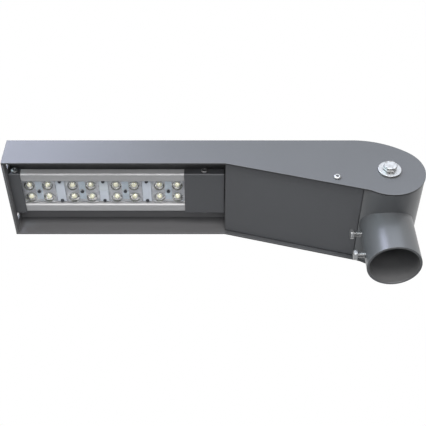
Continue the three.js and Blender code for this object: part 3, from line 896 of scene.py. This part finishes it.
def cross_radius(angle, reach, width):
    """Outline of a cross recess in polar form."""
    turn = (angle + math.pi / 4) % (math.pi / 2) - math.pi / 4
    edge = math.atan2(width, reach)
    if abs(turn) <= edge:
        return reach / math.cos(turn)
    return width / abs(math.sin(turn))


def cross(reach, width):
    return lambda angle: cross_radius(angle, reach, width)


def recessed_head(radius, height, dome, recess, depth, sides=HEAD_SIDES):
    """A screw head whose underside is at z = 0 and whose crown is at -height, with a drive recess.

    recess(angle) gives the recess's outline, dome how much of the height is rounded."""
    shell = Shell()
    rings = [
        shell.disc(radius * 0.5, 0, sides),
        shell.disc(radius * 0.97, 0, sides),
        shell.disc(radius, -0.12, sides),
    ]
    shoulder = height - dome
    widest = max(recess(2 * math.pi * k / sides) for k in range(sides)) * 1.12
    steps = 7
    for k in range(steps + 1):
        turn = math.pi / 2 * k / steps
        here = widest + (radius - widest) * math.cos(turn)
        rings.append(shell.disc(here, -shoulder - dome * math.sin(turn), sides))
    for scale, level in ((1.04, -height), (0.98, -height + 0.1), (0.88, -height + depth)):
        ring = polar_ring(lambda angle: recess(angle) * scale, lambda r: level, sides)
        rings.append(shell.ring(ring))
    shell.bands(rings)
    shell.fan(rings[0], (0, 0, 0))
    shell.fan(rings[-1], (0, 0, -height + depth * 1.35))
    return shell


def shank(radius, length, pitch):
    shell = Shell()
    start = -0.2
    sides = 24
    rings = [shell.disc(radius - 0.5 * pitch, start, sides)]
    rings += thread_rings(shell, radius, 0.5 * pitch, pitch, 0.2, length - 0.4, sides)
    rings.append(shell.disc(radius * 0.55, length, sides))
    shell.bands(rings)
    shell.fan(rings[0], (0, 0, start))
    shell.fan(rings[-1], (0, 0, length))
    return shell


def small_screw(length):
    """Pan head with a cross recess, M2.5."""
    recess = cross(reach=1.35, width=0.36)
    shell = recessed_head(radius=2.4, height=2, dome=1.4, recess=recess, depth=0.9, sides=48)
    shell.add(shank(radius=1.2, length=length, pitch=0.45))
    return shell


def saddle_screw():
    recess = cross(reach=2.5, width=0.62)
    shell = recessed_head(radius=4.7, height=2.6, dome=1.8, recess=recess, depth=1.3)
    shell.add(shank(radius=1.9, length=8, pitch=0.7))
    return shell


def button_screw():
    shell = recessed_head(radius=4.75, height=2.7, dome=2.5, recess=hexagon(4.2), depth=2.2)
    shell.add(shank(radius=2.5, length=9, pitch=0.8))
    return shell


def socket_painted_shade():
    """A dark disc at the bottom of the button screw's hexagon socket, painted shade."""
    outline = [point[:2] for point in polar_ring(hexagon(4.0), lambda r: 0, 48)]
    return slab(outline, (-1.6, -0.9), edge=0.05, steps=1, to3d=along_z)


def fasteners():
    for index, x in enumerate(ARRAY_CENTRES, 1):
        screw = turned(small_screw(length=6.4), (0, 0, 1), (x, 0, ARRAY_FRONT - GAP))
        on_head(f"array_screw_{index}", screw, f"lens_screw_{index}", BLACK_OXIDE_AND_SOCKET_SHADE)
    places = [(x, y) for x in BRIDGE_CENTRES for y in (-BRIDGE_SCREW_Y, BRIDGE_SCREW_Y)]
    for index, (x, y) in enumerate(places, 1):
        screw = turned(small_screw(length=5.7), (0, 0, 1), (x, y, BRIDGE_SCREW_SEAT))
        on_head(f"link_screw_{index}", screw, f"bridge_screw_{index}", BLACK_OXIDE_AND_SOCKET_SHADE)
    across, height = SADDLE_SCREW_SEAT
    outside = HALF_WIDTH + GAP
    for side, label in SIDES:
        inward = (0, -side, 0)
        for end, x in SADDLE_SCREWS.items():
            screw = turned(saddle_screw(), inward, (x, side * across, height))
            # These screws take the darker zinc as painted shade.
            on_head(f"pan_screw_{end}_{label}", screw, f"saddle_screw_{end}_{label}", SHADED_ROUGH_ZINC)
        seat = (COVER_SCREW[0], side * outside, COVER_SCREW[1])
        # The socket part is a dark disc painted as shade in the button screw's hexagon socket.
        parts = (("screw", button_screw, ZINC), ("socket", socket_painted_shade, BLACK_OXIDE_AND_SOCKET_SHADE))
        for part, draw, finish in parts:
            made = turned(draw(), inward, seat)
            on_head(f"button_{part}_{label}", made, f"cover_screw_{label}", finish)
        ring = turned(washer(*PIVOT_WASHER), (0, side, 0), (0, side * outside, 0))
        on_head(f"tilt_washer_{label}", ring, f"pivot_washer_{label}", ZINC)
    bolt = hex_bolt(M10_FLATS, head=6.4, radius=5, length=150.7, pitch=1.5, threaded=26)
    bolt = turned(bolt, (0, 1, 0), (0, -PIVOT_BOLT_SEAT, 0))
    on_head("tilt_bolt", bolt, "pivot_bolt", ZINC)
    nut = hex_nut(M10_FLATS, thick=9.5, bore=5.1)
    nut = turned(nut, (0, 1, 0), (0, PIVOT_BOLT_SEAT, 0))
    on_head("tilt_nut", nut, "pivot_nut", ZINC)
    for label, z in SET_BOLT_HEIGHTS.items():
        bolt = hex_bolt(M8_FLATS, 4.8, 3.9, length=14.5, pitch=1.25, threaded=14.2, washer_face=0.4)
        bolt = turned(bolt, (1, 0, 0), (SET_BOLT_SEAT, 0, z))
        piece(f"clamp_bolt_{label}", bolt, f"{label}_set_bolt", f"set_bolt_{label}", BOLT_ZINC)


# ---- LED module -----------------------------------------------------------------------------------
def heat_sink():
    c = 1.6
    half, top, bottom, floor = MODULE_HALF, MODULE_BASE_TOP, MODULE_BOTTOM, CHANNEL_FLOOR
    right = [
        (CHANNEL_HALF, floor, 0.3), (CHANNEL_HALF, bottom + c, 0.4), (CHANNEL_HALF + c, bottom, 0.5),
        (half - c, bottom, 0.5), (half, bottom + c, 0.5),
    ]
    left = [(-y, z, ease) for y, z, ease in right[::-1]]
    profile = [(half, top, 0.4), (-half, top, 0.4)] + left + right
    shell = slab(fillet(profile, 0, 3), MODULE_X, edge=0.25, steps=2, to3d=along_x)
    root = top - 0.5
    for y in FIN_CENTRES:
        fin = fillet([(y - 1.6, root), (y + 1.6, root), (y + 0.9, FIN_TIP), (y - 0.9, FIN_TIP)], 0.4)
        shell.add(slab(fin, MODULE_X, edge=0.2, steps=2, to3d=along_x))
    return shell


def lens_places(x):
    across, along = LENS_OFFSET
    return [(x + side * across, row * along) for row in (-1, 1) for side in (-1, 1)]


# Profiles of (radius, height) of a lens's dome, its pocket and the silicone over an LED
DOME = [
    (7.4, 0.0), (7.35, -0.9), (7.1, -2.0), (6.5, -3.1),
    (5.6, -4.0), (4.4, -4.7), (3.0, -5.08), (1.5, -5.2),
]
DOME_TOP = 5.2
POCKET = [(4.9, 0.0), (4.88, -0.8), (4.6, -1.8), (3.9, -2.8), (2.6, -3.5), (1.2, -3.8)]
POCKET_TOP = 3.85
LED_DOME = [(3.5, 0), (3.46, 0.7), (3.15, 1.4), (2.55, 2.0), (1.75, 2.4), (0.85, 2.65), (0, 2.75)]


def hump(shell, place, profile, base, top, sides):
    """Adds a dome, or a pocket, that rises from a face towards the front; gives its ring on the face."""
    made = []
    for radius, height in profile:
        points = circle(place, radius, sides)[::-1]
        made.append(shell.ring((u, v, base + height) for u, v in points))
    shell.bands(made)
    shell.fan(made[-1], (*place, base - top))
    return made[0]


def lens_array(x):
    """One clear moulding: plate, four domes in front and a pocket behind each."""
    hx, hy = ARRAY_HALF
    outline = fillet(rectangle(x - hx, x + hx, -hy, hy), 3.2, 6)
    shell = Shell()
    levels = edge_levels(ARRAY_FRONT, ARRAY_BACK, 0.35, 3)
    rings = [shell.ring((u, v, depth) for u, v in inset(outline, move)) for move, depth in levels]
    shell.bands(rings)
    bore = circle((x, 0), MODULE_SCREW_HOLE, 24)[::-1]
    bores = [shell.ring((u, v, depth) for u, v in bore) for depth in (ARRAY_FRONT, ARRAY_BACK)]
    shell.bands(bores)
    fronts, backs = [rings[0], bores[0]], [rings[-1], bores[1]]
    for place in lens_places(x):
        fronts.append(hump(shell, place, DOME, ARRAY_FRONT, DOME_TOP, 48))
        backs.append(hump(shell, place, POCKET, ARRAY_BACK, POCKET_TOP, 32))
    shell.cap(fronts)
    shell.cap(backs)
    return shell


def led_board(x):
    hx, hy = BOARD_HALF
    outline = fillet(rectangle(x - hx, x + hx, -hy, hy), 1.5, 4)
    hole = circle((x, 0), MODULE_SCREW_HOLE, 24)
    span = (BOARD_FACE, BOARD_FACE + BOARD_THICK)
    return slab(outline, span, [hole], edge=0.12, steps=2, to3d=along_z)


def printed(outline, proud, sunk, holes=()):
    """A thin layer on the boards' front."""
    span = (BOARD_FACE - proud, BOARD_FACE + sunk)
    return slab(outline, span, holes, edge=0.03, steps=1, to3d=along_z)


def led_packages(x):
    """Ceramic bodies of the four LEDs, on their solder pads."""
    shell = Shell()
    for cx, cy in lens_places(x):
        corners = rectangle(cx - LED_HALF, cx + LED_HALF, cy - LED_HALF, cy + LED_HALF)
        span = (BOARD_FACE - 0.7, BOARD_FACE - 0.02)
        shell.add(slab(fillet(corners, 0.25), span, edge=0.08, steps=2, to3d=along_z))
    return shell


def lens_outline_painted_shade(x):
    """A dark ring on the board round each LED, painted shade for the dark outline round each lens."""
    shell = Shell()
    inner, outer = LED_RING
    for place in lens_places(x):
        shell.add(printed(circle(place, outer, 40), 0.09, 0.05, [circle(place, inner, 40)]))
    return shell


def led_domes(x):
    shell = Shell()
    for place in lens_places(x):
        shell.add(turned(lathe(LED_DOME, 32), (0, 0, -1), (*place, BOARD_FACE - 0.6)))
    return shell


def traces(x):
    """Copper tracks that stand out under the mask, along the board's sides and ends."""
    shell = Shell()
    side, end, width = 19.3, 24, (1.0, 1.4)
    runs = [
        (x - end, x + end, -side, -side + width[0]), (x - end, x + end, side - width[0], side),
        (x - end, x - end + width[1], -9, 9), (x + end - width[1], x + end, -9, 9),
    ]
    for run in runs:
        shell.add(printed(fillet(rectangle(*run), 0.5), 0.06, 0.1))
    return shell


def centre_pad(x):
    """A pale heat pad round the middle screw."""
    outline = fillet(rectangle(x - 4.6, x + 4.6, -16, 16), 1, 3)
    return printed(outline, 0.09, 0.05, [circle((x, 0), 3, 24)])


def bridge(x, y0, y1):
    top = BOARD_FACE - GAP
    outline = fillet(rectangle(x - BRIDGE_HALF_X, x + BRIDGE_HALF_X, y0, y1), 1.2, 4)
    screws = [y for y in (-BRIDGE_SCREW_Y, BRIDGE_SCREW_Y) if y0 < y < y1]
    holes = [circle((x, y), MODULE_SCREW_HOLE, 24) for y in screws]
    return slab(outline, (top - BRIDGE_THICK, top), holes, edge=0.3, to3d=along_z)


def led_module():
    on_head("finned_sink", heat_sink(), "heat_sink", ALUMINIUM)
    layers = (
        ("", led_board, BOARD), ("_tracks", traces, BRIDGE),
        ("_pad", centre_pad, PAD), ("_packages", led_packages, CERAMIC),
        # The dark rings are painted shade round each lens.
        ("_rings", lens_outline_painted_shade, LENS_OUTLINE_SHADE), ("_phosphor", led_domes, PHOSPHOR),
    )
    for index, x in enumerate(ARRAY_CENTRES, 1):
        for ending, draw, finish in layers:
            on_head(f"board_{index}{ending}", draw(x), f"led_board_{index}", finish)
        on_head(f"lens_plate_{index}", lens_array(x), f"lens_array_{index}", LENS)
    whole = [("", -BRIDGE_HALF_Y, BRIDGE_HALF_Y, BRIDGE)]
    halves = [
        ("_near", -BRIDGE_HALF_Y, -BRIDGE_SEAM, BRIDGE_PALE),
        ("_far", BRIDGE_SEAM, BRIDGE_HALF_Y, BRIDGE),
    ]
    for index, x in enumerate(BRIDGE_CENTRES, 1):
        for ending, y0, y1, finish in halves if index == 2 else whole:
            made = bridge(x, y0, y1)
            on_head(f"link_{index}{ending}", made, f"board_bridge_{index}", finish)


# ---- Spigot ---------------------------------------------------------------------------------------
def carve(target, tools):
    """Applies boolean modifiers in turn: each tool is (operation, shell)."""
    for index, (operation, shell) in enumerate(tools):
        tool = solid_object(f"tool_{index}", shell)
        modifier = target.modifiers.new("carve", "BOOLEAN")
        modifier.operation = operation
        modifier.solver = "EXACT"
        modifier.object = tool
        bpy.context.view_layer.update()
        graph = bpy.context.evaluated_depsgraph_get()
        result = bpy.data.meshes.new_from_object(target.evaluated_get(graph))
        target.modifiers.clear()
        target.data = result
        mesh = tool.data
        bpy.data.objects.remove(tool)
        bpy.data.meshes.remove(mesh)


# Tolerances of the knuckle's normals: distance from a round surface, and cosines between normals
ON_SURFACE = 0.03
SAME_WAY = 0.97
NEAR_WAY = 0.6


def smooth_normal(point, face_normal):
    """The surface normal at a point of the knuckle, taken from the round surface it lies on."""
    x, y, z = (c / MM for c in point)
    across = Vector((x, 0, z - AXIS_Z))
    along = Vector((x, y, 0))
    inner = DRUM_RADIUS - DRUM_WALL
    rounds = [
        (across, DRUM_RADIUS, 1), (across, inner, -1),
        (along, TUBE_RADIUS, 1), (along, TUBE_RADIUS - TUBE_WALL, -1),
    ]
    for radial, radius, sign in rounds:
        if abs(radial.length - radius) < ON_SURFACE:
            normal = radial.normalized() * sign
            if normal.dot(face_normal) > SAME_WAY:
                return normal
    return None


def set_knuckle_normals(mesh):
    bm = bmesh.new()
    bm.from_mesh(mesh)
    bm.faces.ensure_lookup_table()
    normals = []
    for face in bm.faces:
        for vert in face.verts:
            found = smooth_normal(vert.co, face.normal)
            if found is None:
                found = blended_normal(vert, face)
            normals.append(found)
    bm.free()
    mesh.normals_split_custom_set(normals)


def blended_normal(vert, face):
    """On an eased edge: the round surface's normal where it meets one, else the mean of the strips."""
    total = Vector()
    for other in vert.link_faces:
        own = smooth_normal(vert.co, other.normal)
        if own is not None:
            if own.dot(face.normal) > NEAR_WAY:
                return own
            continue
        if other.normal.dot(face.normal) > NEAR_WAY:
            total += other.normal
    if total.length < 1e-6:
        return face.normal.copy()
    return total.normalized()


def eased_rod(radius, start, end, ease, sides):
    """A rod whose end edges are rounded; a negative ease flares them, for cutting a bore."""
    reach = abs(ease)
    turns = [math.pi / 2 * k / 4 for k in range(5)]
    corner = [(radius - ease * (1 - math.sin(t)), reach * (1 - math.cos(t))) for t in turns]
    if ease < 0:
        corner = [(corner[0][0], -1)] + corner
    profile = [(r, start + z) for r, z in corner] + [(r, end - z) for r, z in corner[::-1]]
    return lathe(profile, sides)


def spigot_knuckle():
    axis_y = (0, 1, 0)
    place = (0, 0, AXIS_Z)
    drum = eased_rod(DRUM_RADIUS, -DRUM_HALF, DRUM_HALF, KNUCKLE_EDGE, DRUM_SIDES)
    made = solid_object("knuckle", turned(drum, axis_y, place))
    drum_bore = eased_rod(DRUM_RADIUS - DRUM_WALL, -DRUM_HALF, DRUM_HALF, -KNUCKLE_EDGE, DRUM_SIDES)
    tube = eased_rod(TUBE_RADIUS, 0, AXIS_Z - 20, KNUCKLE_EDGE, TUBE_SIDES)
    tube_bore = eased_rod(TUBE_RADIUS - TUBE_WALL, 0, AXIS_Z, -KNUCKLE_EDGE, TUBE_SIDES)
    slot = slab(fillet(rectangle(*CABLE_SLOT), 4, 5), CABLE_SLOT_DEPTH, edge=0.01, steps=1, to3d=along_x)
    tools = [
        ("UNION", tube), ("DIFFERENCE", turned(drum_bore, axis_y, place)),
        ("DIFFERENCE", tube_bore), ("DIFFERENCE", slot),
    ]
    for z in SET_BOLT_HEIGHTS.values():
        drill = lathe([(SET_BOLT_HOLE, 17), (SET_BOLT_HOLE, 37)], SHANK_SIDES)
        tools.append(("DIFFERENCE", turned(drill, (-1, 0, 0), (0, 0, z))))
    carve(made, tools)
    for face in made.data.polygons:
        face.use_smooth = True
    set_knuckle_normals(made.data)
    return made


def spigot():
    settle(spigot_knuckle(), "spigot", "spigot_knuckle", SPIGOT_PAINT)
    outline = circle((0, 0), STOP_RADIUS, 96)
    stop = slab(outline, STOP_HEIGHT, [circle((0, 0), STOP_BORE, 48)], edge=0.4, to3d=along_z)
    piece("stop_ring", stop, "spigot", "pole_stop", PAINT)


# ---- CAD nodes that stay ---------------------------------------------------------------------------
KEPT = {
    "led_driver": DRIVER_CASE,
    "driver_screw_1": ZINC,
    "driver_screw_2": ZINC,
    "terminal_block": TERMINAL,
    "lead_grommet": RUBBER,
    "led_lead": RUBBER,
    "drum_disc_near": PAINT,
    "drum_disc_far": PAINT,
    "pivot_sleeve": ZINC,
}


def finish_kept_nodes():
    for name, finish in KEPT.items():
        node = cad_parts[name]
        for slot in node.material_slots:
            slot.material = finish


# ---- Stage, light and camera ------------------------------------------------------------------------
FLOOR_HALF = 6.0
FLOOR_HEIGHT = -1.7
LIGHT_AIM = (-0.25, 0, 0.1)
LIGHT_DISTANCE = 2.6
# Name, bearing and rise in degrees, size in metres, power in watts, colour
SOFTBOXES = [
    ("front_box", 12, 28, (2.4, 1.1), 32, (0.79, 0.86, 1.0)),
    ("left_box", -32, 46, (0.9, 1.4), 37, (0.74, 0.77, 1.0)),
    ("left_low", -45, 12, (1.2, 1.2), 56, (0.74, 0.91, 1.0)),
    ("side_box", -82, -10, (1.0, 0.8), 12, (1.0, 0.95, 0.93)),
    ("low_flat", 0, -18, (2.6, 0.8), 71, (1.0, 0.985, 0.99)),
    ("low_deep", 0, -44, (2.0, 1.0), 50, (1.0, 0.99, 1.0)),
]
IMAGE_WIDTH = 426
FOCAL_PIXELS = 842.39
SENSOR = 36
CAMERA_PLACE = (-0.2292, -0.7891, -0.7151)
CAMERA_PITCH = 45.8


def stage_material():
    n = Nodes("pale_floor")
    speck = n.noise(40, 3)
    n.set(Base_Color=n.mix(speck, (0.35, 0.35, 0.35), (0.38, 0.38, 0.38)), Roughness=0.8)
    return n.material


def build_stage():
    mesh = bpy.data.meshes.new("floor")
    outline = rectangle(-FLOOR_HALF, FLOOR_HALF, -FLOOR_HALF, FLOOR_HALF)
    mesh.from_pydata([(x, y, FLOOR_HEIGHT) for x, y in outline], [], [(0, 1, 2, 3)])
    mesh.materials.append(stage_material())
    floor = add_object("floor", mesh)
    world = bpy.data.worlds.new("studio")
    world.use_nodes = True
    background = world.node_tree.nodes["Background"]
    background.inputs["Color"].default_value = (1, 1, 1, 1)
    background.inputs["Strength"].default_value = 1.0
    bpy.context.scene.world = world
    bpy.context.scene.view_settings.view_transform = "Standard"


def softbox(name, bearing, rise, size, power, colour):
    """An area light on the lamp, at a bearing from -Y towards +X and a rise above level."""
    b, r = math.radians(bearing), math.radians(rise)
    aim = Vector(LIGHT_AIM)
    way = Vector((math.sin(b) * math.cos(r), -math.cos(b) * math.cos(r), math.sin(r)))
    place = aim + way * LIGHT_DISTANCE
    data = bpy.data.lights.new(name, "AREA")
    data.shape = "RECTANGLE"
    data.size, data.size_y = size
    data.energy = power
    data.color = colour
    made = add_object(name, data)
    made.location = place
    made.rotation_mode = "QUATERNION"
    made.rotation_quaternion = (aim - place).to_track_quat("-Z", "Y")
    made.visible_camera = False


def build_lights():
    for light in SOFTBOXES:
        softbox(*light)


def build_camera():
    data = bpy.data.cameras.new("camera")
    data.sensor_width = SENSOR
    data.lens = FOCAL_PIXELS / IMAGE_WIDTH * SENSOR
    data.clip_start = 0.01
    camera = add_object("camera", data)
    camera.location = CAMERA_PLACE
    camera.rotation_mode = "XYZ"
    camera.rotation_euler = (math.pi / 2 + math.radians(CAMERA_PITCH), 0, 0)
    bpy.context.scene.camera = camera


build_camera()
build_stage()
build_lights()
sheet_metal()
fasteners()
led_module()
spigot()
finish_kept_nodes()
